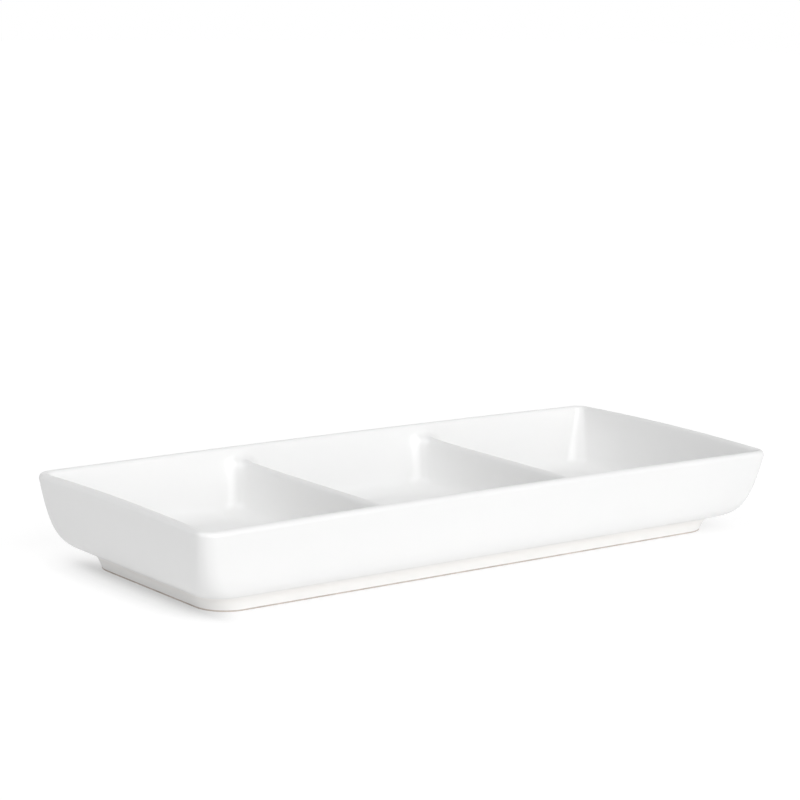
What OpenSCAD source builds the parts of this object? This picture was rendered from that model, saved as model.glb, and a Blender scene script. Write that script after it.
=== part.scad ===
// Rectangular dip dish with three compartments, glazed white stoneware.
// One fired piece, built here as the regions a potter would name: the shell with its wall and floor,
// the two dividers, the foot ring it stands on, and the bare clay edge under the foot.
// Millimetres, +Z up, X along the dish. The origin is on the table, under the middle of the dish.

/* [Rim] */
// Length of the dish over the rim
dish_length = 230; // [200:1:260]
// Width of the dish over the rim
dish_width = 94; // [86:1:120]
// Height of the rim above the table at the four corners
rim_height = 28.5; // [27:0.5:34]
// Extra height of the rim halfway along each long side
side_crown = 0.6; // [0:0.1:1.2]
// Extra height of the rim halfway along each end
end_crown = 0.8; // [0:0.1:1.2]
// Plan radius of the rim's corners, on the outside
rim_corner_radius = 5.5; // [4.5:0.5:8]
// Thickness of the rounded lip
lip_thickness = 3; // [2.6:0.2:3.4]

/* [Outer wall] */
// Lean of the outer wall just below the lip, in degrees
wall_lean = 7.5; // [6.5:0.5:8.5]
// Pull of the wall's curve where it leaves the lip: a long pull keeps the wall upright further down
upper_pull = 21; // [20:0.5:22]
// Pull of the underside's curve where it leaves the foot: a long pull keeps its rise further out
lower_pull = 6.3; // [5.3:0.5:7.3]
// Rise of the underside where it leaves the foot, in degrees
underside_rise = 20; // [17:1:23]

/* [Foot] */
// Height of the foot ring, from the table to the underside of the dish
foot_height = 4.7; // [4.4:0.1:5]
// Distance from the rim's outside to the foot's outer edge on the table
foot_inset = 12.9; // [12.5:0.2:13.3]
// How much further out the foot is at its top than at the table
foot_taper = 1.6; // [1:0.1:2]
// Plan radius of the foot's corners, on the outside
foot_corner_radius = 10; // [9:0.5:10.5]
// Width of the foot's resting face
foot_width = 5; // [4:0.5:6]
// Depth of the hollow inside the foot ring
hollow_depth = 3.6; // [3:0.1:4.2]
// How much further in the foot ring's inner side is at its top than at the table
hollow_taper = 0.8; // [0.4:0.1:1.2]
// Height of the bare clay edge that touches the table
bare_edge_height = 0.4; // [0.3:0.1:0.6]

/* [Compartments] */
// Height of the compartment floor above the table
floor_height = 7.2; // [7:0.1:7.6]
// Radius of the curve between the floor and the inner wall
floor_fillet = 5.5; // [5:0.5:6]
// Lean of the inner wall, in degrees
inner_lean = 12; // [11:1:13]
// Plan radius of the inner corners where the floor's curve starts
inner_corner_radius = 7; // [6:0.5:8]
// Plan radius of the floor's flat corners
floor_corner_radius = 4; // [3:0.5:5]

/* [Dividers] */
// Distance between the middles of the two dividers
divider_spacing = 77.2; // [70:0.2:84]
// Height of the dividers' tops above the table
divider_height = 24.5; // [22:0.5:25]
// Thickness of a divider at its rounded top
divider_thickness = 3; // [2.6:0.2:3.6]
// Lean of a divider's sides, in degrees
divider_lean = 4; // [2:1:5]
// Radius of the curve between a divider's sides and the walls and floor
divider_fillet = 6; // [5:0.5:6.5]
// Radius of the curve that lifts a divider's top into the wall
divider_flare = 2; // [1:0.5:2]

/* [Fineness] */
// Segments in each rounded corner of the plan
corner_segments = 8; // [4:1:10]
// Segments along each long side
side_segments = 10; // [4:2:14]
// Segments along each end
end_segments = 6; // [2:2:8]
// Segments in the outer wall's curve
wall_segments = 12; // [8:1:16]
// Segments over the lip
lip_segments = 8; // [6:2:10]
// Segments in the curve between the floor and the inner wall
fillet_segments = 7; // [5:1:8]
// Stations along a divider
station_count = 26; // [20:2:30]
// Levels up each side of a divider
level_count = 10; // [8:1:12]
// Segments over a divider's top
crest_segments = 6; // [4:2:8]

/* [Hidden] */
$fn = 96;

glaze_colour = [0.95, 0.95, 0.94];
divider_colour = [0.91, 0.91, 0.91];
foot_colour = [0.94, 0.91, 0.87];
bare_clay_colour = [0.74, 0.62, 0.5];

lip_radius = lip_thickness / 2;
lip_centre = [lip_radius, rim_height - lip_radius];
foot_top_inset = foot_inset - foot_taper;
hollow_inset = foot_inset + foot_width;
hollow_top_inset = hollow_inset + hollow_taper;
fillet_centre_height = floor_height + floor_fillet;
ring_size = 4 * corner_segments + 2 * side_segments + 2 * end_segments;
// Power that bunches a divider's levels towards the floor, where its fillet needs them
level_bunching = 1.3;

// Cubic curve through a and d, pulled towards b and c
function curve_point(a, b, c, d, share) =
    pow(1 - share, 3) * a
    + 3 * pow(1 - share, 2) * share * b
    + 3 * (1 - share) * pow(share, 2) * c
    + pow(share, 3) * d;

// Plan points from one corner to the next, without the last, each with its share of the crown
function straight(from, to, segments, crown) = [
    for (k = [0 : segments - 1])
        let (share = k / segments)
        let (p = from + (to - from) * share)
        [p[0], p[1], crown * 4 * share * (1 - share)]
];

// Plan points round a corner, without the last, where the rim has no crown
function corner(x, y, radius, turn) = [
    for (k = [0 : corner_segments - 1])
        let (angle = turn + 90 * k / corner_segments)
        [x + radius * cos(angle), y + radius * sin(angle), 0]
];

// Plan points of a rounded rectangle, inset from the rim's outside and counted from the +X end
function plan_ring(inset, radius) =
    let (x = dish_length / 2 - inset)
    let (y = dish_width / 2 - inset)
    let (flat_x = x - radius)
    let (flat_y = y - radius)
    concat(
        straight([x, -flat_y], [x, flat_y], end_segments, end_crown),
        corner(flat_x, flat_y, radius, 0),
        straight([flat_x, y], [-flat_x, y], side_segments, side_crown),
        corner(-flat_x, flat_y, radius, 90),
        straight([-x, flat_y], [-x, -flat_y], end_segments, end_crown),
        corner(-flat_x, -flat_y, radius, 180),
        straight([-flat_x, -y], [flat_x, -y], side_segments, side_crown),
        corner(flat_x, -flat_y, radius, 270)
    );

// Share of the rim's crown that reaches down to a height: none at the floor, all of it at the rim
function crown_share(height) = pow(max(height - floor_height, 0) / (rim_height - floor_height), 2);

// A ring is [inset, height, corner radius]; its points stand at that height, lifted by the crown
function ring_points(ring) = [
    for (p = plan_ring(ring[0], ring[2]))
        [p[0], p[1], ring[1] + p[2] * crown_share(ring[1])]
];

// Two triangles between neighbouring rings, for each point along them
function band_faces(first, second) = [
    for (j = [0 : ring_size - 1])
        let (next = (j + 1) % ring_size)
        each [
            [first * ring_size + j, second * ring_size + j, second * ring_size + next],
            [first * ring_size + j, second * ring_size + next, first * ring_size + next]
        ]
];

// Closed solid through a list of rings, with a flat cap on the first and the last.
// Each cap is a fan of triangles round a point in the middle of its ring.
module capped_loft(rings) {
    last = len(rings) - 1;
    first_middle = len(rings) * ring_size;
    last_middle = first_middle + 1;
    polyhedron(
        points = concat(
            [for (ring = rings) each ring_points(ring)],
            [[0, 0, rings[0][1]], [0, 0, rings[last][1]]]
        ),
        faces = concat(
            [for (j = [0 : ring_size - 1]) [first_middle, j, (j + 1) % ring_size]],
            [for (k = [0 : last - 1]) each band_faces(k, k + 1)],
            [
                for (j = [0 : ring_size - 1])
                    [last_middle, last * ring_size + (j + 1) % ring_size, last * ring_size + j]
            ]
        ),
        convexity = 6
    );
}

// Closed ring-shaped solid, whose last ring joins its first
module closed_loft(rings) {
    count = len(rings);
    polyhedron(
        points = [for (ring = rings) each ring_points(ring)],
        faces = [for (k = [0 : count - 1]) each band_faces(k, (k + 1) % count)],
        convexity = 6
    );
}

// Corner radius of the outside, which grows from the rim towards the foot
function outer_radius(inset) =
    rim_corner_radius + (foot_corner_radius - rim_corner_radius) * inset / foot_inset;

// Inset of the inner wall's straight part at a height
function wall_inset(height) =
    lip_centre[0] + (lip_radius + (lip_centre[1] - height) * sin(inner_lean)) / cos(inner_lean);

// Inset of the middle of the floor's curve
fillet_centre_inset = wall_inset(fillet_centre_height) + floor_fillet / cos(inner_lean);

// Inset of the inner wall at a height, on its straight part or on the floor's curve
function inner_inset(height) =
    let (drop = fillet_centre_height - height)
    drop <= floor_fillet * sin(inner_lean)
        ? wall_inset(height)
        : fillet_centre_inset - sqrt(max(pow(floor_fillet, 2) - pow(drop, 2), 0));

// Rings of the underside, from the hollow's roof out to the top of the foot
underside_rings = [
    [hollow_top_inset, hollow_depth, outer_radius(foot_inset) - foot_width],
    [hollow_top_inset, foot_height, outer_radius(foot_inset) - foot_width],
    [foot_top_inset, foot_height, outer_radius(foot_top_inset)]
];

// Rings of the outer wall, from just above the foot to just below the lip
wall_start = [foot_top_inset, foot_height];
wall_end = lip_centre - lip_radius * [cos(wall_lean), sin(wall_lean)];
outer_wall_rings = [
    for (k = [1 : wall_segments - 1])
        let (
            p = curve_point(
                wall_start,
                wall_start + lower_pull * [-cos(underside_rise), sin(underside_rise)],
                wall_end + upper_pull * [sin(wall_lean), -cos(wall_lean)],
                wall_end,
                k / wall_segments
            )
        )
        [p[0], p[1], outer_radius(p[0])]
];

// Rings over the lip, from the outer wall to the inner wall
lip_angles = concat(
    [180 + wall_lean],
    [for (k = [0 : lip_segments - 1]) 180 - 180 * k / lip_segments],
    [inner_lean]
);
lip_rings = [
    for (angle = lip_angles)
        let (p = lip_centre + lip_radius * [cos(angle), sin(angle)])
        [p[0], p[1], rim_corner_radius - p[0]]
];

// Rings of the floor's curve, from the inner wall to the flat floor
floor_rings = [
    for (k = [0 : fillet_segments])
        let (angle = 180 + inner_lean + (90 - inner_lean) * k / fillet_segments)
        [
            fillet_centre_inset + floor_fillet * cos(angle),
            fillet_centre_height + floor_fillet * sin(angle),
            inner_corner_radius + (floor_corner_radius - inner_corner_radius) * k / fillet_segments
        ]
];

// Swell of a fillet at a distance from the surface that it runs into
function swell(gap, radius) =
    gap >= radius ? 0 : radius - sqrt(pow(radius, 2) - pow(radius - max(gap, 0), 2));

// Distance from a point in a divider's plane to the nearest wall or floor
function surface_gap(y, height) =
    let (corner = [dish_width / 2 - fillet_centre_inset, fillet_centre_height])
    let (wall_gap = (dish_width / 2 - inner_inset(height) - abs(y)) * cos(inner_lean))
    let (in_corner = abs(y) > corner[0] && height < corner[1])
    in_corner
        ? floor_fillet - norm([abs(y), height] - corner)
        : min(wall_gap, height - floor_height);

// Half the thickness of a divider at a place on its side
function half_thickness(y, height) =
    divider_thickness / 2
    + (divider_height - height) * tan(divider_lean)
    + swell(surface_gap(y, height), divider_fillet);

// One loop of points round a divider, at a share of the way from its middle to a wall
function divider_loop(share) =
    let (crest_y = share * (dish_width / 2 - inner_inset(divider_height)))
    let (wall_gap = (1 - abs(share)) * (dish_width / 2 - inner_inset(divider_height)))
    let (edge_height = divider_height - divider_thickness / 2 + swell(wall_gap, divider_flare))
    let (
        side = [
            for (k = [0 : level_count - 1])
                let (rise_share = pow(k / level_count, level_bunching))
                let (height = floor_height + (edge_height - floor_height) * rise_share)
                let (y = share * (dish_width / 2 - inner_inset(height)))
                [half_thickness(y, height), y, height]
        ]
    )
    let (crest_half = half_thickness(crest_y, min(edge_height, divider_height)))
    let (
        crest = [
            for (k = [0 : crest_segments])
                let (angle = 180 * k / crest_segments)
                let (height = edge_height + divider_thickness / 2 * sin(angle))
                [
                    crest_half * cos(angle),
                    share * (dish_width / 2 - inner_inset(height)),
                    height
                ]
        ]
    )
    concat(
        side,
        crest,
        [for (k = [level_count - 1 : -1 : 0]) [-side[k][0], side[k][1], side[k][2]]]
    );

// A divider across the dish, rounded on top and flared where it meets the walls and floor
module divider() {
    loop_size = 2 * level_count + crest_segments + 1;
    loops = [for (k = [0 : station_count]) divider_loop(sin(90 * (2 * k / station_count - 1)))];
    // Strip of triangles across an end of the divider, level by level
    end_strip = function (start) [
        for (k = [0 : ceil(loop_size / 2) - 2])
            let (a = start + k)
            let (b = start + k + 1)
            let (c = start + loop_size - 2 - k)
            let (d = start + loop_size - 1 - k)
            each (b == c ? [[a, b, d]] : [[a, b, c], [a, c, d]])
    ];
    polyhedron(
        points = [for (loop = loops) each loop],
        faces = concat(
            [for (f = end_strip(0)) [f[2], f[1], f[0]]],
            [
                for (k = [0 : station_count - 1])
                    for (j = [0 : loop_size - 1])
                        let (next = (j + 1) % loop_size)
                        let (near = k * loop_size)
                        let (far = (k + 1) * loop_size)
                        each [[near + j, near + next, far + next], [near + j, far + next, far + j]]
            ],
            end_strip(station_count * loop_size)
        ),
        convexity = 4
    );
}

// Flat rounded rectangle in the plane of the table, inset from the rim's outside
module plan_shape(inset, radius) {
    half_x = dish_length / 2 - inset;
    half_y = dish_width / 2 - inset;
    square([2 * half_x, 2 * (half_y - radius)], center = true);
    square([2 * (half_x - radius), 2 * half_y], center = true);
    for (x = [-1, 1])
        for (y = [-1, 1])
            translate([x * (half_x - radius), y * (half_y - radius)])
                circle(r = radius);
}

// Wall and floor of the dish in one curve, open above
module dish_shell() {
    color(glaze_colour)
        capped_loft(concat(underside_rings, outer_wall_rings, lip_rings, floor_rings));
}

module left_divider() {
    color(divider_colour)
        translate([-divider_spacing / 2, 0, 0])
            divider();
}

module right_divider() {
    color(divider_colour)
        translate([divider_spacing / 2, 0, 0])
            divider();
}

// Glazed ring that the dish stands on, without the bare edge under it
module foot_ring() {
    color(foot_colour)
        closed_loft([
            [hollow_top_inset, foot_height, outer_radius(foot_inset) - foot_width],
            [hollow_top_inset, hollow_depth, outer_radius(foot_inset) - foot_width],
            [hollow_inset, bare_edge_height, outer_radius(foot_inset) - foot_width],
            [foot_inset, bare_edge_height, outer_radius(foot_inset)],
            [foot_top_inset, foot_height, outer_radius(foot_top_inset)]
        ]);
}

// Unglazed clay that rests on the table
module bare_foot_edge() {
    color(bare_clay_colour)
        linear_extrude(bare_edge_height)
            difference() {
                plan_shape(foot_inset, outer_radius(foot_inset));
                plan_shape(hollow_inset, outer_radius(foot_inset) - foot_width);
            }
}

dish_shell();
left_divider();
right_divider();
foot_ring();
bare_foot_edge();
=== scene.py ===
import math

import bmesh
import bpy
import numpy as np
from bpy.props import FloatProperty, FloatVectorProperty, PointerProperty
from mathutils import Matrix, Vector


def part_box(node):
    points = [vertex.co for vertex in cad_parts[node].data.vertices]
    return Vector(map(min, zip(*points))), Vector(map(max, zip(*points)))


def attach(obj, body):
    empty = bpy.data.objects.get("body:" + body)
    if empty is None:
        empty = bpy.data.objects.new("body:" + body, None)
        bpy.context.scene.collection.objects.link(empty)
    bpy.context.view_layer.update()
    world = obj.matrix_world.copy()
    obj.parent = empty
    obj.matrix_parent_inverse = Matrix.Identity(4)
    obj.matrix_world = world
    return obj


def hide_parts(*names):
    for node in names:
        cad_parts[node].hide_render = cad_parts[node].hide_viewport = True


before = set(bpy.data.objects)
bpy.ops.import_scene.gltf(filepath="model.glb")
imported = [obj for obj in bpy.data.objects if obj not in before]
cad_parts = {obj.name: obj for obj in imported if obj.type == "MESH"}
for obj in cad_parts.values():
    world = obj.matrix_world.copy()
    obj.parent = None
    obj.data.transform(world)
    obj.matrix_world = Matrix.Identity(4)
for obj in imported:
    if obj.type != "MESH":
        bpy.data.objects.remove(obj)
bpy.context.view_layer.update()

bl_info = {
    "name": "Compartment Dip Dish",
    "version": (1, 0, 0),
    "blender": (4, 5, 0),
    "location": "View3D > Sidebar > Dip Dish",
    "description": "Builds a glazed dip dish with three compartments, its clay foot and a studio",
    "category": "Add Mesh",
}

MM = 0.001
SHELL_LOW, SHELL_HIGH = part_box("dish_shell")
LEFT_LOW, LEFT_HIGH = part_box("left_divider")
RIGHT_LOW, RIGHT_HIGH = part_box("right_divider")
FOOT_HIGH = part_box("foot_ring")[1]
EDGE_LOW, EDGE_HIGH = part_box("bare_foot_edge")
# How much higher the rim stands halfway along an end than at its corners
END_CROWN = 0.8 * MM
BODY = "root"


def length(name, description, default, low=0.0, high=1.0):
    """A property that holds a length in metres."""
    return FloatProperty(
        name=name, description=description, default=default, min=low, max=high,
        precision=5, unit="LENGTH", subtype="DISTANCE",
    )


def angle(name, description, degrees):
    """A property that holds an angle, given in degrees."""
    return FloatProperty(
        name=name, description=description, default=math.radians(degrees), unit="ROTATION",
        subtype="ANGLE",
    )


def colour(name, description, default):
    """A property that holds a colour."""
    return FloatVectorProperty(
        name=name, description=description, default=default, min=0.0, max=1.0, size=3,
        subtype="COLOR",
    )


def amount(name, description, default, high=1.0):
    """A property that holds a plain number."""
    return FloatProperty(name=name, description=description, default=default, min=0.0, max=high)


class DishSizes(bpy.types.PropertyGroup):
    """Sizes of the dish, its dividers and its foot."""

    dish_length: length("Length", "Length over the rim", SHELL_HIGH.x - SHELL_LOW.x)
    dish_width: length("Width", "Width over the rim", SHELL_HIGH.y - SHELL_LOW.y)
    rim_height: length("Rim height", "Height of the rim at its corners", SHELL_HIGH.z - END_CROWN)
    side_crown: length("Side crown", "Extra height halfway along a long side", 0.6 * MM)
    end_crown: length("End crown", "Extra height halfway along an end", END_CROWN)
    rim_corner: length("Rim corner", "Plan radius of the rim's corners", 5.5 * MM)
    lip_thickness: length("Lip", "Thickness of the rounded lip", 3 * MM)
    wall_lean: angle("Wall lean", "Lean of the outer wall below the lip", 7.5)
    upper_pull: length("Upper pull", "Pull of the wall's curve at the lip", 21 * MM)
    lower_pull: length("Lower pull", "Pull of the underside's curve at the foot", 6.3 * MM)
    underside_rise: angle("Underside rise", "Rise of the underside where it leaves the foot", 20)
    floor_height: length("Floor", "Height of the compartment floor", 7.2 * MM)
    floor_fillet: length("Floor fillet", "Radius between floor and wall", 5.5 * MM)
    inner_lean: angle("Inner lean", "Lean of the inner wall", 12)
    inner_corner: length("Inner corner", "Plan radius where the floor's curve starts", 7 * MM)
    floor_corner: length("Floor corner", "Plan radius of the flat floor's corners", 4 * MM)
    divider_spacing: length(
        "Divider spacing", "Distance between the middles of the dividers",
        (RIGHT_LOW.x + RIGHT_HIGH.x - LEFT_LOW.x - LEFT_HIGH.x) / 2,
    )
    divider_height: length("Divider height", "Height of a divider's top", 24.5 * MM)
    divider_thickness: length("Divider", "Thickness of a divider at its top", 3 * MM)
    divider_lean: angle("Divider lean", "Lean of a divider's sides", 4)
    divider_fillet: length("Divider fillet", "Radius between a divider and the dish", 6 * MM)
    divider_flare: length("Divider flare", "Radius between a divider's top and the wall", 2.5 * MM)
    foot_height: length("Foot height", "Height of the foot ring", FOOT_HIGH.z)
    foot_length: length("Foot length", "Length of the foot on the table", EDGE_HIGH.x - EDGE_LOW.x)
    foot_depth: length("Foot depth", "Depth of the foot on the table", EDGE_HIGH.y - EDGE_LOW.y)
    foot_taper: length("Foot taper", "How much further out the foot's top is", 1.6 * MM)
    foot_corner: length("Foot corner", "Plan radius of the foot's corners", 10 * MM)
    foot_width: length("Foot width", "Width of the foot's resting face", 5 * MM)
    foot_fillet: length("Foot fillet", "Radius between the foot and the underside", 6 * MM)
    hollow_depth: length("Hollow", "Depth of the hollow inside the foot", 3.6 * MM)
    hollow_taper: length("Hollow taper", "Lean of the hollow's side, as a length", 0.8 * MM)
    bare_edge: length("Bare edge", "Height of the unglazed edge", EDGE_HIGH.z)


class DishFinish(bpy.types.PropertyGroup):
    """Colours and finish of the glaze and the bare clay."""

    glaze: colour("Glaze", "Colour of the glaze", (0.9, 0.9, 0.897))
    glaze_deep: colour("Deep glaze", "Colour where the glaze lies thick", (0.89, 0.892, 0.89))
    # The warm glaze is partly painted light: lighter than the glaze to lift the shaded foot, and
    # warm where clay shows through
    glaze_warm_and_lit: colour("Warm glaze", "Colour round the foot, clay-warm and lighter as painted light", (0.94, 0.925, 0.9))
    clay: colour("Clay", "Colour of the bare clay", (0.6, 0.53, 0.485))
    clay_dark: colour("Dark clay", "Colour of the clay's darker grains", (0.46, 0.4, 0.35))
    gloss: amount("Roughness", "Roughness of the glaze where it is smoothest", 0.3)


class StudioSettings(bpy.types.PropertyGroup):
    """Camera and lamps."""

    turn: angle("Turn", "Turn of the camera round the dish", 39.16)
    rise: angle("Rise", "Angle of the camera above the table", 10.65)
    roll: angle("Roll", "Roll of the camera", 2.03)
    distance: length(
        "Distance", "Distance along the view to the dish's origin", 801.46 * MM, 0.1, 5.0
    )
    side_shift: length("Side shift", "Origin's place right of the view's middle", 4.85 * MM, -1.0)
    up_shift: length("Up shift", "Origin's place above the view's middle", -47.38 * MM, -1.0)
    lens: amount("Lens", "Focal length in millimetres", 111.29, 1000.0)
    sky: amount("Sky", "Strength of the even light from all round", 0.24)
    front: amount("Front", "Level of the lamp in front", 0.67)
    side: amount("Side", "Level of the high lamp at the left", 0.27)


def eased(share):
    """A share from 0 to 1 that starts and ends gently."""
    return share * share * (3 - 2 * share)


class Shape:
    """Works out the loops of the dish's cage from its sizes."""

    BEND_STEPS = 5
    WALL_STEPS = 4
    CREST_STEPS = 3
    UPPER_STEPS = 4
    LIP_STEPS = 6
    OUTER_STEPS = 9
    FLOOR_STEPS = 6
    # Distance of the first line on a floor from the floor's edge
    FLOOR_EDGE = 1.4 * MM
    # How many foot widths the last loop under the dish lies inside the foot's middle line
    ROOF_REACH = 2
    # Distances from the rim between which its crown dies away inwards
    SIDE_FADE = (8 * MM, 17 * MM)

    def __init__(self, sizes):
        self.z = sizes
        self.half_x = sizes.dish_length / 2
        self.half_y = sizes.dish_width / 2
        self.divider_x = sizes.divider_spacing / 2
        self.lip_radius = sizes.lip_thickness / 2
        self.lip_height = sizes.rim_height - self.lip_radius
        self.crest_radius = sizes.divider_thickness / 2
        self.foot_inset = (sizes.dish_length - sizes.foot_length) / 2
        self.levels = self.wall_levels()
        self.wall_rings = self.inner_rings()
        self.divider_offsets = np.array([self.divider_offset(level) for level in self.levels])

    def wall_levels(self):
        """Heights of the loops up the inner walls, from the floor to the top of a divider."""
        z = self.z
        turns = np.linspace(0, math.pi / 2 - z.inner_lean, self.BEND_STEPS + 1)
        bend = z.floor_height + z.floor_fillet * (1 - np.cos(turns))
        crest_edge = z.divider_height - self.crest_radius
        wall = np.linspace(bend[-1], crest_edge, self.WALL_STEPS + 1)[1:]
        turns = np.linspace(0, math.pi / 2, self.CREST_STEPS + 1)[1:]
        crest = crest_edge + self.crest_radius * np.sin(turns)
        return np.concatenate([bend, wall, crest])

    def inner_inset(self, level):
        """Distance from the rim's outside to the inner wall at a height."""
        z = self.z
        middle = z.floor_height + z.floor_fillet
        lean_run = (self.lip_height - level) * math.sin(z.inner_lean)
        straight = self.lip_radius + (self.lip_radius + lean_run) / math.cos(z.inner_lean)
        drop = middle - level
        if drop <= z.floor_fillet * math.sin(z.inner_lean):
            return straight
        lean_run = (self.lip_height - middle) * math.sin(z.inner_lean)
        reach = self.lip_radius + lean_run + z.floor_fillet
        centre = self.lip_radius + reach / math.cos(z.inner_lean)
        return centre - math.sqrt(max(z.floor_fillet ** 2 - drop ** 2, 0.0))

    def divider_offset(self, level):
        """Distance from a divider's middle plane to its surface at a height."""
        z = self.z
        crest_edge = z.divider_height - self.crest_radius
        if level > crest_edge:
            return math.sqrt(max(self.crest_radius ** 2 - (level - crest_edge) ** 2, 0.0))
        straight = self.crest_radius + (crest_edge - level) * math.tan(z.divider_lean)
        middle = z.floor_height + z.divider_fillet
        drop = middle - level
        if drop <= z.divider_fillet * math.sin(z.divider_lean):
            return straight
        centre = self.crest_radius + (crest_edge - middle) * math.tan(z.divider_lean)
        centre += z.divider_fillet / math.cos(z.divider_lean)
        return centre - math.sqrt(max(z.divider_fillet ** 2 - drop ** 2, 0.0))

    def inner_rings(self):
        """Rings [inset, height, corner radius] from the floor up the wall and over the lip."""
        z = self.z
        rings = []
        bend = z.floor_fillet * (1 - math.sin(z.inner_lean))
        top = self.lip_height + self.lip_radius * math.sin(z.inner_lean)

        def wall_radius(level):
            share = (level - z.floor_height - bend) / (top - z.floor_height - bend)
            return z.inner_corner + (z.rim_corner - z.lip_thickness - z.inner_corner) * share

        for level in self.levels:
            rise = (level - z.floor_height) / bend
            if rise < 1:
                radius = z.floor_corner + (z.inner_corner - z.floor_corner) * math.sqrt(rise)
            else:
                radius = wall_radius(level)
            rings.append([self.inner_inset(level), level, radius])
        lower = self.levels[-1]
        for k in range(1, self.UPPER_STEPS):
            level = lower + (top - lower) * k / self.UPPER_STEPS
            rings.append([self.inner_inset(level), level, wall_radius(level)])
        for turn in np.linspace(z.inner_lean, math.pi, self.LIP_STEPS + 1):
            inset = self.lip_radius + self.lip_radius * math.cos(turn)
            height = self.lip_height + self.lip_radius * math.sin(turn)
            rings.append([inset, height, z.rim_corner - inset])
        return np.array(rings)

    def outer_curve(self, share):
        """Point [inset, height] of the outer wall's curve, from the foot (0) up to the lip (1)."""
        z = self.z
        start = np.array([self.foot_inset - z.foot_taper, z.foot_height])
        turn = math.pi + z.wall_lean
        end = np.array([self.lip_radius, self.lip_height])
        end = end + self.lip_radius * np.array([math.cos(turn), math.sin(turn)])
        low_way = np.array([-math.cos(z.underside_rise), math.sin(z.underside_rise)])
        high_way = np.array([math.sin(z.wall_lean), -math.cos(z.wall_lean)])
        low_pull = start + z.lower_pull * low_way
        high_pull = end + z.upper_pull * high_way
        rest = 1 - share
        return (
            rest ** 3 * start + 3 * rest ** 2 * share * low_pull
            + 3 * rest * share ** 2 * high_pull + share ** 3 * end
        )

    def outer_rings(self):
        """Rings down the outer wall and under the dish to the hollow's roof."""
        z = self.z
        foot_inset = self.foot_inset
        growth = (z.foot_corner - z.rim_corner) / foot_inset
        rings = []
        for k in range(self.OUTER_STEPS, -1, -1):
            point = self.outer_curve(k / self.OUTER_STEPS)
            rings.append([point[0], point[1], z.rim_corner + growth * point[0]])
        hidden = foot_inset + z.foot_width / 2
        rings.append([hidden - z.foot_taper, z.foot_height, z.foot_corner])
        rings.append([hidden, z.hollow_depth, z.foot_corner])
        rings.append([hidden + z.foot_taper, z.hollow_depth, z.foot_corner])
        rings.append([hidden + self.ROOF_REACH * z.foot_width, z.hollow_depth, z.foot_corner])
        return np.array(rings)

    def lines(self):
        """Lines across the cage from the +X end and the +Y side inwards: [place, ring key] each.

        A key counts the wall's loops up from the floor's edge. On the flat floor it is minus the
        distance from that edge."""
        last = len(self.wall_rings) - 1
        wall = [[self.wall_rings[k][0], k] for k in range(last, -1, -1)]
        ends = [[self.half_x - inset, key] for inset, key in wall]
        sides = [[self.half_y - inset, key] for inset, key in wall]
        crest = len(self.levels) - 1
        far_side = [[self.divider_x + self.divider_offsets[k], k] for k in range(crest + 1)]
        near_side = [[self.divider_x - self.divider_offsets[k], k] for k in reversed(range(crest))]
        end_floor = self.floor_lines(ends[-1][0], far_side[0][0])
        middle_floor = self.floor_lines(near_side[-1][0], -near_side[-1][0])
        along = ends + end_floor + far_side + near_side + middle_floor[: len(middle_floor) // 2 + 1]
        across = sides + self.floor_lines(sides[-1][0], -sides[-1][0])
        across = across[: len(sides) + (len(across) - len(sides)) // 2 + 1]
        return np.array(along), np.array(across)

    def floor_lines(self, start, stop):
        """Lines over a flat floor between two of its edges, with a close one inside each edge."""
        places = np.linspace(start - self.FLOOR_EDGE, stop + self.FLOOR_EDGE, self.FLOOR_STEPS + 1)
        return [[place, -min(start - place, place - stop)] for place in places]


def placed(key, places):
    """Place of a ring key on a wall with loops at places; the floor runs on from the first."""
    if key < 0:
        return places[0] - key
    return float(np.interp(key, range(len(places)), places))


def rounded(u, v, radius):
    """Moves a point by a sharp corner onto the rounded one.

    Its distances from the two walls are u and v."""
    run = u + v
    if run >= radius or radius <= 0:
        return u, v
    turn = math.pi / 4 * (1 - run / radius)
    along = radius * (1 - math.sin(turn))
    across = radius * (1 - math.cos(turn))
    return (across, along) if v >= u else (along, across)


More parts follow.
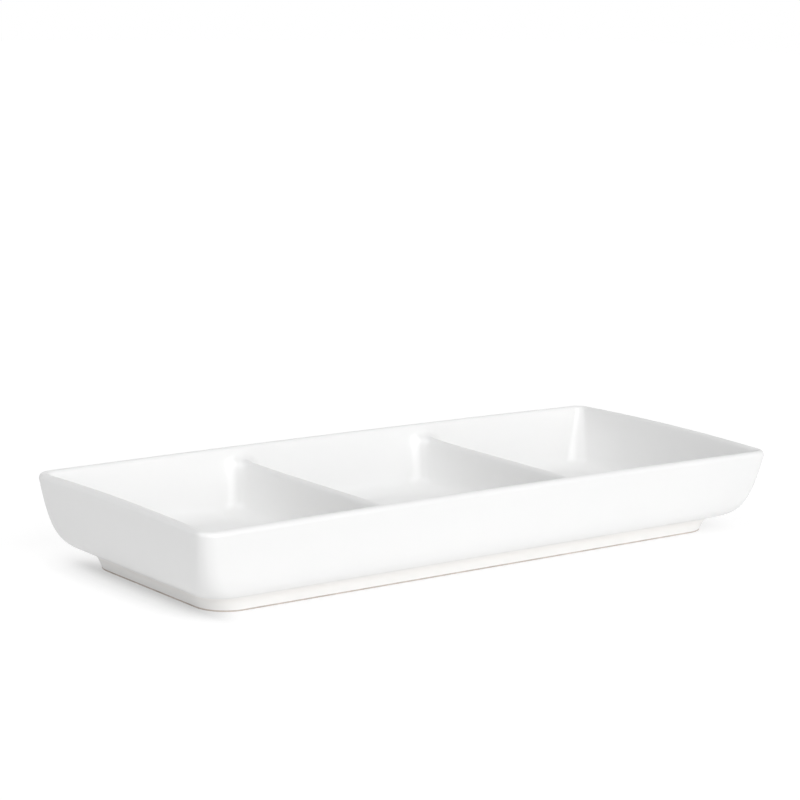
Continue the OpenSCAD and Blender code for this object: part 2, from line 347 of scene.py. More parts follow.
class Cage:
    """The dish's cage: a grid over its inside and rim, and loops down its outside."""

    # A half's last line this close to the middle isn't repeated in the other half
    ON_MIDDLE = 1e-6
    # A divider's block: its reach past the fillets, and the number of loops it ends below the lip
    BLOCK_MARGIN = 1 * MM
    BLOCK_DROP = 1

    def __init__(self, sizes):
        self.shape = Shape(sizes)
        self.z = sizes
        along, across = self.shape.lines()
        self.x, self.x_key = self.mirrored(along)
        self.y, self.y_key = self.mirrored(across)
        self.nx, self.ny = len(self.x), len(self.y)
        self.points = []
        for j in range(self.ny):
            for i in range(self.nx):
                self.points.append(self.top_point(i, j))
        self.rim = self.border(0, self.nx - 1, 0, self.ny - 1)

    def mirrored(self, half):
        """Lines of one half, from outside to the middle, made whole from the low side up."""
        low = half * np.array([-1.0, 1.0])
        high = half[::-1]
        if abs(half[-1][0]) < self.ON_MIDDLE:
            high = high[1:]
        whole = np.concatenate([low, high])
        return whole[:, 0], whole[:, 1]

    def index(self, i, j):
        """Number of a grid point."""
        return j * self.nx + i

    def border(self, i0, i1, j0, j1):
        """Grid points round a block of the grid, counterclockwise seen from above."""
        loop = [self.index(i, j0) for i in range(i0, i1)]
        loop += [self.index(i1, j) for j in range(j0, j1)]
        loop += [self.index(i, j1) for i in range(i1, i0, -1)]
        loop += [self.index(i0, j) for j in range(j1, j0, -1)]
        return loop

    def lift(self, x, y, height, radius):
        """Height that the rim's crown adds at a place."""
        z, s = self.z, self.shape
        share = (max(height - z.floor_height, 0.0) / (z.rim_height - z.floor_height)) ** 2
        total = 0.0
        for far, half, other, other_half, crown in (
            (abs(y), s.half_y, abs(x), s.half_x, z.side_crown),
            (abs(x), s.half_x, abs(y), s.half_y, z.end_crown),
        ):
            inset = half - far
            near, gone = s.SIDE_FADE
            fade = eased(min(max((gone - inset) / (gone - near), 0.0), 1.0))
            straight = other_half - max(inset, 0.0) - radius
            total += crown * fade * max(1 - (other / straight) ** 2, 0.0)
        return total * share

    def top_point(self, i, j):
        """Place of a grid point on the inside or the rim of the dish."""
        s, z = self.shape, self.z
        rings = s.wall_rings
        x, y = abs(self.x[i]), abs(self.y[j])
        key = max(self.x_key[i], self.y_key[j])
        middle = (s.half_x - rings[0][0] + s.divider_x + s.divider_offsets[0]) / 2
        height = float(np.interp(max(key, 0), range(len(rings)), rings[:, 1]))
        ring_inset = placed(key, rings[:, 0])
        side = s.half_y - y
        if x >= middle:
            radius = float(np.interp(max(key, 0), range(len(rings)), rings[:, 2])) + min(key, 0)
            u, v = rounded(s.half_x - x - ring_inset, side - ring_inset, radius)
            new_x = s.half_x - ring_inset - u
            new_y = s.half_y - ring_inset - v
        else:
            gap = abs(x - s.divider_x)
            rise = height - (z.divider_height - s.crest_radius)
            if rise > 0:
                far = math.hypot(gap, rise)
                across, up = gap / far, rise / far
                u = far - s.crest_radius
                radius = z.divider_fillet + (z.divider_flare - z.divider_fillet) * eased(up)
            else:
                across, up = 1.0, 0.0
                u = gap - placed(key, s.divider_offsets)
                radius = z.divider_fillet + min(key, 0)
            new_u, v = rounded(u, side - ring_inset, radius)
            new_x = s.divider_x + math.copysign(gap + (new_u - u) * across, x - s.divider_x)
            new_y = s.half_y - ring_inset - v
            height += (new_u - u) * up
            radius = 0.0
        new_x = math.copysign(new_x, self.x[i])
        new_y = math.copysign(new_y, self.y[j])
        return (new_x, new_y, height + self.lift(new_x, new_y, height, max(radius, 0.0)))

    def ring_points(self, inset, height, radius):
        """Points of an outer loop, one under each point of the grid's border."""
        s = self.shape
        half_x, half_y = s.half_x - inset, s.half_y - inset
        points = []
        for index in self.rim:
            i, j = index % self.nx, index // self.nx
            x = abs(self.x[i]) * half_x / s.half_x
            y = abs(self.y[j]) * half_y / s.half_y
            u, v = rounded(half_x - x, half_y - y, radius)
            x = math.copysign(half_x - u, self.x[i])
            y = math.copysign(half_y - v, self.y[j])
            points.append((x, y, height + self.lift(x, y, height, radius)))
        return points

    def divider_block(self, side):
        """Grid lines round the divider on that side, just outside its fillets: i0, i1, j0, j1."""
        s = self.shape
        middle = side * s.divider_x
        reach = s.divider_offsets[0] + self.BLOCK_MARGIN
        inside = [i for i in range(self.nx) if abs(self.x[i] - middle) < reach]
        lip_key = len(s.wall_rings) - s.LIP_STEPS - 1
        seam_key = lip_key - self.BLOCK_DROP
        j0 = int(np.argmin(abs(self.y_key[: self.ny // 2] - seam_key)))
        return inside[0] - 1, inside[-1] + 1, j0, self.ny - 1 - j0


class Solid:
    """Points and faces of one piece, with the edges that stay sharp."""

    def __init__(self, name):
        self.name = name
        self.points = []
        self.faces = []
        self.sharp = set()

    def add(self, points):
        """Adds points and returns their numbers."""
        first = len(self.points)
        self.points.extend(points)
        return list(range(first, len(self.points)))

    def band(self, upper, lower):
        """Faces between two closed loops; they face outwards when upper lies above lower."""
        count = len(upper)
        for k in range(count):
            n = (k + 1) % count
            self.faces.append((upper[k], lower[k], lower[n], upper[n]))

    def crease(self, loop):
        """Keeps the edges of a closed loop sharp."""
        for a, b in zip(loop, loop[1:] + loop[:1]):
            self.sharp.add((min(a, b), max(a, b)))

    def build(self, material):
        """Makes the Blender object: the cage is subdivided, and an opening in it is closed flat."""
        used = sorted({v for face in self.faces for v in face})
        new = {old: k for k, old in enumerate(used)}
        mesh = bpy.data.meshes.new(self.name)
        mesh.from_pydata(
            [self.points[v] for v in used], [], [[new[v] for v in face] for face in self.faces]
        )
        mesh.validate()
        sharp = {(new[a], new[b]) for a, b in self.sharp if a in new and b in new}
        crease = mesh.attributes.new("crease_edge", "FLOAT", "EDGE")
        hard = mesh.attributes.new("sharp_edge", "BOOLEAN", "EDGE")
        for edge in mesh.edges:
            if (min(edge.vertices), max(edge.vertices)) in sharp:
                crease.data[edge.index].value = 1.0
                hard.data[edge.index].value = True
        mesh.polygons.foreach_set("use_smooth", [True] * len(mesh.polygons))
        mesh.materials.append(material)
        obj = bpy.data.objects.new(self.name, mesh)
        bpy.context.scene.collection.objects.link(obj)
        modifier = obj.modifiers.new("Smooth glaze", "SUBSURF")
        modifier.levels = 1
        modifier.render_levels = 1
        found = obj.evaluated_get(bpy.context.evaluated_depsgraph_get())
        obj.data = bpy.data.meshes.new_from_object(found)
        obj.modifiers.clear()
        obj.data.name = self.name
        close_flat(obj.data)
        return obj


def close_flat(mesh):
    """Closes a mesh's opening, if it has one, with one flat face."""
    work = bmesh.new()
    work.from_mesh(mesh)
    bmesh.ops.holes_fill(work, edges=[edge for edge in work.edges if edge.is_boundary], sides=0)
    work.to_mesh(mesh)
    work.free()


# Depth of the hidden seat under a divider's seam
POCKET = 0.8 * MM


def sunk(cage, index):
    """Point inside the clay under a point of a divider's seam."""
    z = cage.z
    x, y, height = cage.points[index]
    lean = min(max(height - z.floor_height, 0.0) / z.floor_fillet, 1.0)
    return (x, y + math.copysign(POCKET * lean, y), height - POCKET)


def seat_divider(solid, cage, grid, block, inside_out):
    """Adds the hidden seat of a divider in the dish: a sheet sunk under the divider's seam."""
    i0, i1, j0, j1 = block
    seam = cage.border(i0, i1, j0, j1)
    low = dict(zip(seam, solid.add([sunk(cage, index) for index in seam])))
    upper, lower = [grid[k] for k in seam], [low[k] for k in seam]
    sheets = []
    for j in range(j0, j1):
        near = [cage.index(i, j) for i in (range(i0, i1 + 1) if j == j0 else (i0, i1))]
        far = [cage.index(i, j + 1) for i in (range(i1, i0 - 1, -1) if j + 1 == j1 else (i1, i0))]
        sheets.append([low[k] for k in near + far])
    if inside_out:
        solid.band(upper, lower)
        solid.faces += [tuple(reversed(sheet)) for sheet in sheets]
    else:
        solid.band(lower, upper)
        solid.faces += [tuple(sheet) for sheet in sheets]
    solid.crease(upper)


def grid_faces(cage, grid, block, skipped=()):
    """Faces of a block of the grid, without the blocks that are skipped."""
    i0, i1, j0, j1 = block
    faces = []
    for j in range(j0, j1):
        for i in range(i0, i1):
            if any(a <= i < b and c <= j < d for a, b, c, d in skipped):
                continue
            corners = ((i, j), (i + 1, j), (i + 1, j + 1), (i, j + 1))
            faces.append(tuple(grid[cage.index(*corner)] for corner in corners))
    return faces


def make_shell(sizes, material):
    """The dish's floor, walls, lip and underside."""
    cage = Cage(sizes)
    solid = Solid("glazed_shell")
    grid = solid.add(cage.points)
    blocks = [cage.divider_block(side) for side in (-1, 1)]
    solid.faces = grid_faces(cage, grid, (0, cage.nx - 1, 0, cage.ny - 1), blocks)
    loop = [grid[k] for k in cage.rim]
    for ring in cage.shape.outer_rings():
        lower = solid.add(cage.ring_points(*ring))
        solid.band(loop, lower)
        loop = lower
    for block in blocks:
        seat_divider(solid, cage, grid, block, False)
    return solid.build(material)


def make_divider(sizes, material, side, name):
    """One divider with its fillets, seated in the dish."""
    cage = Cage(sizes)
    solid = Solid(name)
    grid = solid.add(cage.points)
    block = cage.divider_block(side)
    solid.faces = grid_faces(cage, grid, block)
    seat_divider(solid, cage, grid, block, True)
    return solid.build(material)


def arc(centre, radius, start, stop, steps):
    """Points along an arc, ends included; angles in radians."""
    return [
        (centre[0] + radius * math.cos(turn), centre[1] + radius * math.sin(turn))
        for turn in np.linspace(start, stop, steps + 1)
    ]


# How far the foot's visible top reaches into the shell, and how much further its hidden top does
FOOT_SINK = 0.03 * MM
HIDDEN_RISE = 0.6 * MM
# Rounding of the glaze over the bare clay, and how far the clay stands back from it
GLAZE_EDGE = 0.25 * MM
GLAZE_STEP = 0.08 * MM
# Rounding of the clay at the table
CLAY_EDGE = 0.25 * MM
ARC_STEPS = 6
EDGE_STEPS = 3
CORNER_STEPS = 20
# The search for the place where the foot's fillet touches the underside's curve
CURVE_STEP = 1e-4
SEARCH_END = 0.5
SEARCH_STEPS = 40
# Vertices closer than this are one, and edges sharper than this angle stay sharp
MERGE_DISTANCE = 1e-7
SHARP_ANGLE = math.radians(50)


def foot_fillet_arc(sizes):
    """Points up the curve that rounds the foot's outer side into the underside."""
    shape = Shape(sizes)
    bottom, radius = sizes.bare_edge, sizes.foot_fillet
    lean = math.atan2(sizes.foot_taper, sizes.foot_height - bottom)

    def middle_and_turn(share):
        """Middle of a circle that touches the underside there, and the direction to that place."""
        here, there = shape.outer_curve(share), shape.outer_curve(share + CURVE_STEP)
        out, up = here[0] - there[0], there[1] - here[1]
        long = math.hypot(out, up)
        middle = (shape.foot_inset - here[0] + radius * up / long, here[1] - radius * out / long)
        return middle, math.pi / 2 + math.atan2(up, out)

    low, high = 0.0, SEARCH_END
    for _ in range(SEARCH_STEPS):
        share = (low + high) / 2
        middle, turn = middle_and_turn(share)
        gap = middle[0] * math.cos(lean) - (middle[1] - bottom) * math.sin(lean)
        low, high = (share, high) if gap < radius else (low, share)
    return arc(middle, radius, math.pi - lean, turn, ARC_STEPS)


def foot_profile(sizes):
    """Closed outline of the glazed foot ring: outwards from the foot's outer edge, and up."""
    bottom = sizes.bare_edge
    outer = foot_fillet_arc(sizes)
    outer[-1] = (outer[-1][0], outer[-1][1] + FOOT_SINK)
    roof = sizes.hollow_depth + FOOT_SINK
    inner_lean = math.atan2(sizes.hollow_taper, sizes.hollow_depth - bottom)
    radius = sizes.hollow_taper
    inner_middle = roof - radius
    slope = (inner_middle - bottom) * math.tan(inner_lean)
    inside = -sizes.foot_width - slope - radius / math.cos(inner_lean)
    inner = arc((inside, inner_middle), radius, math.pi / 2, inner_lean, ARC_STEPS)
    hidden = outer[-1][1] + HIDDEN_RISE
    low = bottom + GLAZE_EDGE
    low_inner = arc(
        (GLAZE_EDGE - sizes.foot_width, low), GLAZE_EDGE, math.pi, 1.5 * math.pi, EDGE_STEPS
    )
    low_outer = arc((-GLAZE_EDGE, low), GLAZE_EDGE, -math.pi / 2, 0.0, EDGE_STEPS)
    top = [(outer[-1][0] - GLAZE_EDGE, hidden), (-sizes.foot_width, hidden)]
    return low_outer + outer + top + inner + low_inner


def edge_profile(sizes):
    """Closed outline of the bare clay edge, a little inside the glaze above it."""
    out, into = -GLAZE_STEP, GLAZE_STEP - sizes.foot_width
    top = sizes.bare_edge + GLAZE_EDGE
    low_outer = arc((out - CLAY_EDGE, CLAY_EDGE), CLAY_EDGE, -math.pi / 2, 0.0, ARC_STEPS)
    low_inner = arc((into + CLAY_EDGE, CLAY_EDGE), CLAY_EDGE, math.pi, 1.5 * math.pi, ARC_STEPS)
    return low_outer + [(out, top), (into, top)] + low_inner


def node(tree, kind, inputs=None, **settings):
    """Adds a node to a tree, sets it and fills the sockets named in inputs."""
    made = tree.nodes.new(kind)
    for name, value in settings.items():
        setattr(made, name, value)
    for name, value in (inputs or {}).items():
        socket = made.inputs[name]
        if isinstance(value, bpy.types.NodeSocket):
            tree.links.new(value, socket)
        else:
            socket.default_value = value
    return made


def foot_sweep_tree():
    """Geometry Nodes tree that sweeps a closed profile along the foot's rounded outline."""
    tree = bpy.data.node_groups.new("Foot sweep", "GeometryNodeTree")
    sockets = (
        ("Profile", "NodeSocketGeometry"), ("Length", "NodeSocketFloat"),
        ("Depth", "NodeSocketFloat"), ("Corner Radius", "NodeSocketFloat"),
        ("Corner Steps", "NodeSocketInt"), ("Material", "NodeSocketMaterial"),
    )
    for name, kind in sockets:
        tree.interface.new_socket(name, in_out="INPUT", socket_type=kind)
    tree.interface.new_socket("Geometry", in_out="OUTPUT", socket_type="NodeSocketGeometry")
    given = node(tree, "NodeGroupInput").outputs
    outline = node(
        tree, "GeometryNodeCurvePrimitiveQuadrilateral",
        {"Width": given["Length"], "Height": given["Depth"]}, mode="RECTANGLE",
    )
    path = node(
        tree, "GeometryNodeFilletCurve",
        {
            "Curve": outline.outputs["Curve"], "Count": given["Corner Steps"],
            "Radius": given["Corner Radius"],
        },
        mode="POLY",
    )
    upright = node(
        tree, "GeometryNodeSetCurveNormal", {"Curve": path.outputs["Curve"]}, mode="Z_UP"
    )
    profile = node(tree, "GeometryNodeMeshToCurve", {"Mesh": given["Profile"]})
    swept = node(
        tree, "GeometryNodeCurveToMesh",
        {"Curve": upright.outputs["Curve"], "Profile Curve": profile.outputs["Curve"]},
    )
    smooth = node(tree, "GeometryNodeSetShadeSmooth", {"Geometry": swept.outputs["Mesh"]})
    real = node(tree, "GeometryNodeRealizeInstances", {"Geometry": smooth.outputs["Geometry"]})
    finished = node(
        tree, "GeometryNodeSetMaterial",
        {"Geometry": real.outputs["Geometry"], "Material": given["Material"]},
    )
    node(tree, "NodeGroupOutput", {"Geometry": finished.outputs["Geometry"]})
    return tree


def sweep_along_foot(name, profile, sizes, material):
    """Sweeps a profile along the foot's outline and returns an object with a plain mesh."""
    mesh = bpy.data.meshes.new(name + "_profile")
    count = len(profile)
    mesh.from_pydata(
        [(x, -y, 0.0) for x, y in profile], [(k, (k + 1) % count) for k in range(count)], []
    )
    maker = bpy.data.objects.new(name + "_maker", mesh)
    bpy.context.scene.collection.objects.link(maker)
    modifier = maker.modifiers.new("Foot sweep", "NODES")
    modifier.node_group = bpy.data.node_groups.get("Foot sweep") or foot_sweep_tree()
    wanted = {
        "Length": sizes.foot_length, "Depth": sizes.foot_depth, "Corner Radius": sizes.foot_corner,
        "Corner Steps": CORNER_STEPS, "Material": material,
    }
    for socket in modifier.node_group.interface.items_tree:
        if socket.in_out == "INPUT" and socket.name in wanted:
            modifier[socket.identifier] = wanted[socket.name]
    maker.update_tag()
    bpy.context.view_layer.update()
    found = maker.evaluated_get(bpy.context.evaluated_depsgraph_get())
    made = bpy.data.meshes.new_from_object(found)
    bpy.data.objects.remove(maker)
    made.name = name
    clean(made)
    obj = bpy.data.objects.new(name, made)
    bpy.context.scene.collection.objects.link(obj)
    return obj


def clean(mesh):
    """Merges doubles and points all faces outwards."""
    work = bmesh.new()
    work.from_mesh(mesh)
    bmesh.ops.remove_doubles(work, verts=work.verts, dist=MERGE_DISTANCE)
    bmesh.ops.recalc_face_normals(work, faces=work.faces)
    work.to_mesh(mesh)
    work.free()
    mesh.set_sharp_from_angle(angle=SHARP_ANGLE)


# Noise of the fired surface's tone and ripple
TONE_NOISE = {"Detail": 3.0}
RIPPLE_NOISE = {"Detail": 2.0, "Roughness": 0.45}


def grain_group():
    """Shader group shared by glaze and clay: tone, ripple and pits that vary over the surface."""
    found = bpy.data.node_groups.get("Fired surface")
    if found:
        return found
    tree = bpy.data.node_groups.new("Fired surface", "ShaderNodeTree")
    for name in ("Tone Scale", "Ripple Scale", "Pit Scale", "Pit Size"):
        tree.interface.new_socket(name, in_out="INPUT", socket_type="NodeSocketFloat")
    for name in ("Tone", "Ripple", "Pits"):
        tree.interface.new_socket(name, in_out="OUTPUT", socket_type="NodeSocketFloat")
    given = node(tree, "NodeGroupInput").outputs
    place = node(tree, "ShaderNodeTexCoord").outputs["Object"]
    tone, ripple = (
        node(tree, "ShaderNodeTexNoise", {"Vector": place, "Scale": given[scale], **noise})
        for scale, noise in (("Tone Scale", TONE_NOISE), ("Ripple Scale", RIPPLE_NOISE))
    )
    cells = node(tree, "ShaderNodeTexVoronoi", {"Vector": place, "Scale": given["Pit Scale"]})
    pit = node(
        tree, "ShaderNodeMapRange",
        {"Value": cells.outputs["Distance"], "From Min": given["Pit Size"], "From Max": 0.0},
    )
    node(
        tree, "NodeGroupOutput",
        {
            "Tone": tone.outputs["Fac"], "Ripple": ripple.outputs["Fac"],
            "Pits": pit.outputs["Result"],
        },
    )
    return tree


def mix_colour(tree, share, first, second):
    """Mixes two colours or sockets by a share and returns the result's socket."""
    first, second = (
        end if isinstance(end, bpy.types.NodeSocket) else (*end, 1.0) for end in (first, second)
    )
    # A Mix node takes its colours in sockets 6 and 7, and gives the mixed one in output 2
    made = node(
        tree, "ShaderNodeMix", {0: share, 6: first, 7: second}, data_type="RGBA", clamp_factor=True
    )
    return made.outputs[2]


def spread(tree, value, low, high, out_low, out_high):
    """Maps a value from one range to another, clamped."""
    made = node(
        tree, "ShaderNodeMapRange",
        {"Value": value, "From Min": low, "From Max": high, "To Min": out_low, "To Max": out_high},
    )
    return made.outputs["Result"]


def computed(tree, operation, first, second):
    """Result of a maths operation on two values or sockets."""
    return node(tree, "ShaderNodeMath", {0: first, 1: second}, operation=operation).outputs[0]


def new_material(name):
    """An empty material with its output and a Principled shader; returns the three."""
    found = bpy.data.materials.new(name)
    found.use_nodes = True
    tree = found.node_tree
    tree.nodes.clear()
    shader = node(tree, "ShaderNodeBsdfPrincipled")
    node(tree, "ShaderNodeOutputMaterial", {"Surface": shader.outputs["BSDF"]})
    return found, tree, shader


# Scales of the fired surface's patterns, in turns a metre, and a pit's size as a share of its cell
GLAZE_GRAIN = {"Tone Scale": 28.0, "Ripple Scale": 60.0}
CLAY_GRAIN = {"Tone Scale": 120.0, "Ripple Scale": 900.0, "Pit Scale": 700.0, "Pit Size": 0.22}
# Pattern values between which a surface changes
GLAZE_TONES = (0.35, 0.7)
GRAIN_TONES = (0.35, 0.65)
RIPPLES = (0.3, 0.7)
# Heights between which the warm tone fades in, from above and from below; the tone is partly
# painted light, lighter than the glaze to lift the shaded foot
WARM_LIT_ABOVE = (6.4 * MM, 4.6 * MM)
WARM_LIT_BELOW = (1.0 * MM, 3.6 * MM)
# Shares of the warm, lightened tone that are left at the table, and where the glaze is most uneven
WARM_LIT_AT_TABLE = 0.25
WARM_LIT_LEAST = 0.8
# How much rougher than at its smoothest the glaze gets
GLOSS_SPREAD = 0.08
GLAZE_BUMP = {"Strength": 0.3, "Distance": 0.08 * MM}
GLAZE_COAT = {"Coat Weight": 0.35, "Coat Roughness": 0.12}
CLAY_SPECKS = 0.6
CLAY_ROUGHNESS = (0.75, 0.95)
CLAY_BUMP = {"Strength": 0.6, "Distance": 0.15 * MM}


def glaze_material(finish):
    """White glaze: soft gloss, faint pooling and ripple, and round the foot a warmer tone that is
    also lighter, as painted light on the shaded foot.
    """
    found = bpy.data.materials.get("white_glaze_finish")
    if found:
        return found
    found, tree, shader = new_material("white_glaze_finish")
    fired = node(tree, "ShaderNodeGroup", GLAZE_GRAIN, node_tree=grain_group()).outputs
    tone, ripple = fired["Tone"], fired["Ripple"]
    place = node(tree, "ShaderNodeTexCoord").outputs["Object"]
    height = node(tree, "ShaderNodeSeparateXYZ", {"Vector": place}).outputs["Z"]
    # Painted light: near the top of the foot the glaze turns to the warm colour, which is lighter
    # than the glaze and lifts the shaded foot
    below = spread(tree, height, *WARM_LIT_ABOVE, 0.0, 1.0)
    above = spread(tree, height, *WARM_LIT_BELOW, WARM_LIT_AT_TABLE, 1.0)
    uneven = spread(tree, tone, *GRAIN_TONES, WARM_LIT_LEAST, 1.0)
    warm_and_lit = computed(tree, "MULTIPLY", computed(tree, "MULTIPLY", below, above), uneven)
    deep = spread(tree, tone, *GLAZE_TONES, 0.0, 1.0)
    body = mix_colour(tree, deep, finish.glaze, finish.glaze_deep)
    tree.links.new(mix_colour(tree, warm_and_lit, body, finish.glaze_warm_and_lit), shader.inputs["Base Color"])
    rough = spread(tree, ripple, *RIPPLES, finish.gloss, finish.gloss + GLOSS_SPREAD)
    tree.links.new(rough, shader.inputs["Roughness"])
    bump = node(tree, "ShaderNodeBump", {"Height": ripple, **GLAZE_BUMP})
    tree.links.new(bump.outputs["Normal"], shader.inputs["Normal"])
    for name, value in GLAZE_COAT.items():
        shader.inputs[name].default_value = value
    return found


def clay_material(finish):
    """Bare fired clay: tan, rough and grainy, with darker specks."""
    found, tree, shader = new_material("bare_clay_finish")
    fired = node(tree, "ShaderNodeGroup", CLAY_GRAIN, node_tree=grain_group()).outputs
    tone, ripple, pits = (fired[name] for name in ("Tone", "Ripple", "Pits"))
    dark = spread(tree, tone, *GRAIN_TONES, 0.0, 1.0)
    body = mix_colour(tree, dark, finish.clay, finish.clay_dark)
    specks = computed(tree, "MULTIPLY", pits, CLAY_SPECKS)
    specked = mix_colour(tree, specks, body, finish.clay_dark)
    tree.links.new(specked, shader.inputs["Base Color"])
    tree.links.new(spread(tree, ripple, *RIPPLES, *CLAY_ROUGHNESS), shader.inputs["Roughness"])
    bump = node(tree, "ShaderNodeBump", {"Height": ripple, **CLAY_BUMP})
    tree.links.new(bump.outputs["Normal"], shader.inputs["Normal"])
    return found


WHITE = (1.0, 1.0, 1.0, 1.0)
# Side of the floor in metres, and the share of the light that it throws back at the dish
FLOOR_SIZE = 6.0
FLOOR_ALBEDO = 0.98
# Share of the lamps' light that the camera sees on the floor, and the even glow on top of it
FLOOR_SHADE = 0.3
FLOOR_GLOW = 0.83
# How far the dish's contact shadow reaches, the share of the glow that it takes in front and at the
# left end, how steeply it falls off, and the places along the dish between which it changes
CONTACT_REACH = 20 * MM
CONTACT_FRONT = 0.25
CONTACT_LEFT = 0.85
CONTACT_POWER = 2.5
CONTACT_TURN = (-96 * MM, -103 * MM)
CONTACT_SAMPLES = 16
# Angle over which a lamp's light comes in, and the directions towards the lamps
LAMP_SOFTNESS = math.radians(60)
FRONT_LAMP = (0.0, -1.0, 0.41)
SIDE_LAMP = (-1.0, 0.0, 1.0)
# Width of the camera's sensor in millimetres, and its clipping distances in metres
SENSOR_WIDTH = 36.0
CLIP_START, CLIP_END = 0.05, 20.0


def by_ray(tree, light, seen):
    """Shader that is one thing for light, and another for camera, glossy and transmission rays."""
    path = node(tree, "ShaderNodeLightPath").outputs
    share = computed(tree, "MAXIMUM", path["Is Camera Ray"], path["Is Glossy Ray"])
    share = computed(tree, "MAXIMUM", share, path["Is Transmission Ray"])
    return node(tree, "ShaderNodeMixShader", {0: share, 1: light, 2: seen}).outputs[0]


def floor_material():
    """Pale floor that the camera sees as white, with the dish's soft shadow kept."""
    found = bpy.data.materials.new("studio_floor_finish")
    found.use_nodes = True
    tree = found.node_tree
    tree.nodes.clear()
    plain, shade = (
        node(tree, "ShaderNodeBsdfDiffuse", {"Color": (grey, grey, grey, 1.0)}).outputs[0]
        for grey in (FLOOR_ALBEDO, FLOOR_SHADE)
    )
    place = node(tree, "ShaderNodeTexCoord").outputs["Object"]
    along = node(tree, "ShaderNodeSeparateXYZ", {"Vector": place}).outputs["X"]
    near = node(
        tree, "ShaderNodeAmbientOcclusion", {"Distance": CONTACT_REACH}, samples=CONTACT_SAMPLES
    )
    taken = spread(tree, along, *CONTACT_TURN, CONTACT_FRONT, CONTACT_LEFT)
    hidden = spread(tree, near.outputs["AO"], 0.0, 1.0, 1.0, 0.0)
    steep = computed(tree, "POWER", hidden, CONTACT_POWER)
    shadow = computed(tree, "MULTIPLY", taken, steep)
    level = spread(tree, shadow, 0.0, 1.0, FLOOR_GLOW, 0.0)
    glow = node(tree, "ShaderNodeEmission", {"Color": WHITE, "Strength": level}).outputs[0]
    seen = node(tree, "ShaderNodeAddShader", {0: shade, 1: glow}).outputs[0]
    node(tree, "ShaderNodeOutputMaterial", {"Surface": by_ray(tree, plain, seen)})
    return found


def make_floor():
    """A plain floor under the dish."""
    half = FLOOR_SIZE / 2
    mesh = bpy.data.meshes.new("studio_floor")
    corners = [(-half, -half, 0.0), (half, -half, 0.0), (half, half, 0.0), (-half, half, 0.0)]
    mesh.from_pydata(corners, [], [(0, 1, 2, 3)])
    mesh.materials.append(floor_material())
    floor = bpy.data.objects.new("studio_floor", mesh)
    bpy.context.scene.collection.objects.link(floor)


def make_sky(strength):
    """Even soft light from all round, which the camera sees as plain white."""
    world = bpy.data.worlds.new("studio_sky")
    bpy.context.scene.world = world
    world.use_nodes = True
    tree = world.node_tree
    tree.nodes.clear()
    light, white = (
        node(tree, "ShaderNodeBackground", {"Color": WHITE, "Strength": level}).outputs[0]
        for level in (strength, 1.0)
    )
    node(tree, "ShaderNodeOutputWorld", {"Surface": by_ray(tree, light, white)})


def make_lamp(name, towards, level):
    """A far, soft lamp; at level 1 a plain surface that faces it renders in its written colour."""
    data = bpy.data.lights.new(name, "SUN")
    data.angle = LAMP_SOFTNESS
    data.energy = level * math.pi
    lamp = bpy.data.objects.new(name, data)
    bpy.context.scene.collection.objects.link(lamp)
    lamp.location = towards
    lamp.rotation_euler = (-Vector(towards)).to_track_quat("-Z", "Y").to_euler()


def make_camera(studio):
    """Camera at the photograph's viewing angle."""
    east, north = math.sin(studio.turn), math.cos(studio.turn)
    flat, steep = math.cos(studio.rise), math.sin(studio.rise)
    level = Vector((north, -east, 0.0))
    upright = Vector((east * steep, north * steep, flat))
    forward = Vector((east * flat, north * flat, -steep))
    right = math.cos(studio.roll) * level + math.sin(studio.roll) * upright
    up = math.cos(studio.roll) * upright - math.sin(studio.roll) * level
    data = bpy.data.cameras.new("camera")
    data.sensor_width = SENSOR_WIDTH
    data.lens = studio.lens
    data.clip_start = CLIP_START
    data.clip_end = CLIP_END
    camera = bpy.data.objects.new("camera", data)
    bpy.context.scene.collection.objects.link(camera)
    place = -(studio.side_shift * right + studio.up_shift * up + studio.distance * forward)
    turned = Matrix((right, up, -forward)).transposed().to_4x4()
    camera.matrix_world = Matrix.Translation(place) @ turned
    bpy.context.scene.camera = camera


def settle(obj, cad_node):
    """Lets a closed piece ride on the dish and stand for its CAD node."""
    work = bmesh.new()
    work.from_mesh(obj.data)
    gaps = sum(not edge.is_manifold for edge in work.edges)
    work.free()
    if gaps or not obj.data.polygons:
        raise RuntimeError(f"{obj.name} is not a closed solid: {gaps} edges lack a face")
    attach(obj, BODY)
    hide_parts(cad_node)


class DIPDISH_OT_shell(bpy.types.Operator):
    """Build the glazed floor, walls, lip and underside"""

    bl_idname = "dipdish.shell"
    bl_label = "Glazed shell"

    def execute(self, context):
        scene = context.scene
        shell = make_shell(scene.dish_sizes, glaze_material(scene.dish_finish))
        settle(shell, "dish_shell")
        return {"FINISHED"}


class DIPDISH_OT_dividers(bpy.types.Operator):
    """Build the two glazed dividers with their fillets"""

    bl_idname = "dipdish.dividers"
    bl_label = "Dividers"

    def execute(self, context):
        scene = context.scene
        material = glaze_material(scene.dish_finish)
        for side, word in ((-1, "left"), (1, "right")):
            divider = make_divider(scene.dish_sizes, material, side, "glazed_" + word + "_divider")
            settle(divider, word + "_divider")
        return {"FINISHED"}


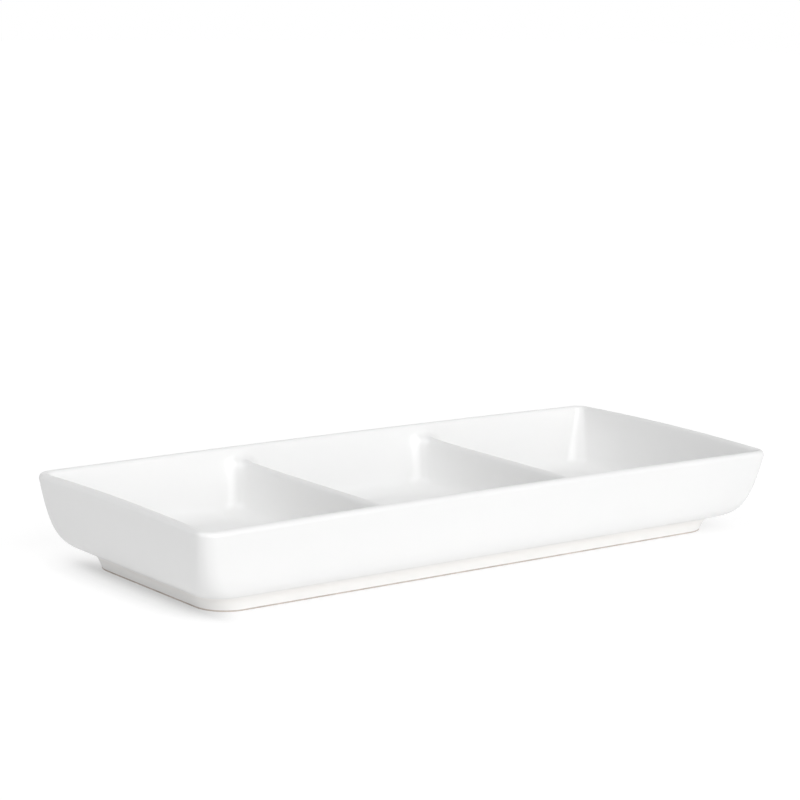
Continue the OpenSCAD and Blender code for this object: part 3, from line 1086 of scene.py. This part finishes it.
class DIPDISH_OT_foot(bpy.types.Operator):
    """Sweep the glazed foot ring and its bare clay edge along the foot's outline"""

    bl_idname = "dipdish.foot"
    bl_label = "Foot"

    def execute(self, context):
        scene = context.scene
        sizes = scene.dish_sizes
        if sizes.foot_corner <= sizes.foot_width:
            raise ValueError("The foot's corners need a larger radius than the foot's width")
        glaze = glaze_material(scene.dish_finish)
        ring = sweep_along_foot("glazed_foot_ring", foot_profile(sizes), sizes, glaze)
        settle(ring, "foot_ring")
        clay = clay_material(scene.dish_finish)
        edge = sweep_along_foot("bare_clay_edge", edge_profile(sizes), sizes, clay)
        settle(edge, "bare_foot_edge")
        return {"FINISHED"}


class DIPDISH_OT_stage(bpy.types.Operator):
    """Set up the floor, the lamps and the camera"""

    bl_idname = "dipdish.stage"
    bl_label = "Studio"

    def execute(self, context):
        studio = context.scene.dish_studio
        make_floor()
        make_sky(studio.sky)
        make_lamp("front_lamp", FRONT_LAMP, studio.front)
        make_lamp("side_lamp", SIDE_LAMP, studio.side)
        make_camera(studio)
        context.scene.view_settings.view_transform = "Standard"
        return {"FINISHED"}


class DIPDISH_PT_panel(bpy.types.Panel):
    """Buttons that build the dish, with its sizes and colours"""

    bl_idname = "DIPDISH_PT_panel"
    bl_label = "Dip Dish"
    bl_space_type = "VIEW_3D"
    bl_region_type = "UI"
    bl_category = "Dip Dish"

    def draw(self, context):
        scene = context.scene
        for operator in OPERATORS:
            self.layout.operator(operator.bl_idname)
        for group in (scene.dish_sizes, scene.dish_finish, scene.dish_studio):
            box = self.layout.box()
            for name in group.bl_rna.properties.keys():
                if name not in ("rna_type", "name"):
                    box.prop(group, name)


OPERATORS = (DIPDISH_OT_stage, DIPDISH_OT_shell, DIPDISH_OT_dividers, DIPDISH_OT_foot)
CLASSES = (DishSizes, DishFinish, StudioSettings, *OPERATORS, DIPDISH_PT_panel)


def register():
    for found in CLASSES:
        bpy.utils.register_class(found)
    bpy.types.Scene.dish_sizes = PointerProperty(type=DishSizes)
    bpy.types.Scene.dish_finish = PointerProperty(type=DishFinish)
    bpy.types.Scene.dish_studio = PointerProperty(type=StudioSettings)


def unregister():
    del bpy.types.Scene.dish_studio
    del bpy.types.Scene.dish_finish
    del bpy.types.Scene.dish_sizes
    for found in reversed(CLASSES):
        bpy.utils.unregister_class(found)


def main():
    register()
    bpy.ops.dipdish.stage()
    bpy.ops.dipdish.shell()
    bpy.ops.dipdish.dividers()
    bpy.ops.dipdish.foot()
    bpy.context.view_layer.update()


if __name__ == "__main__":
    main()
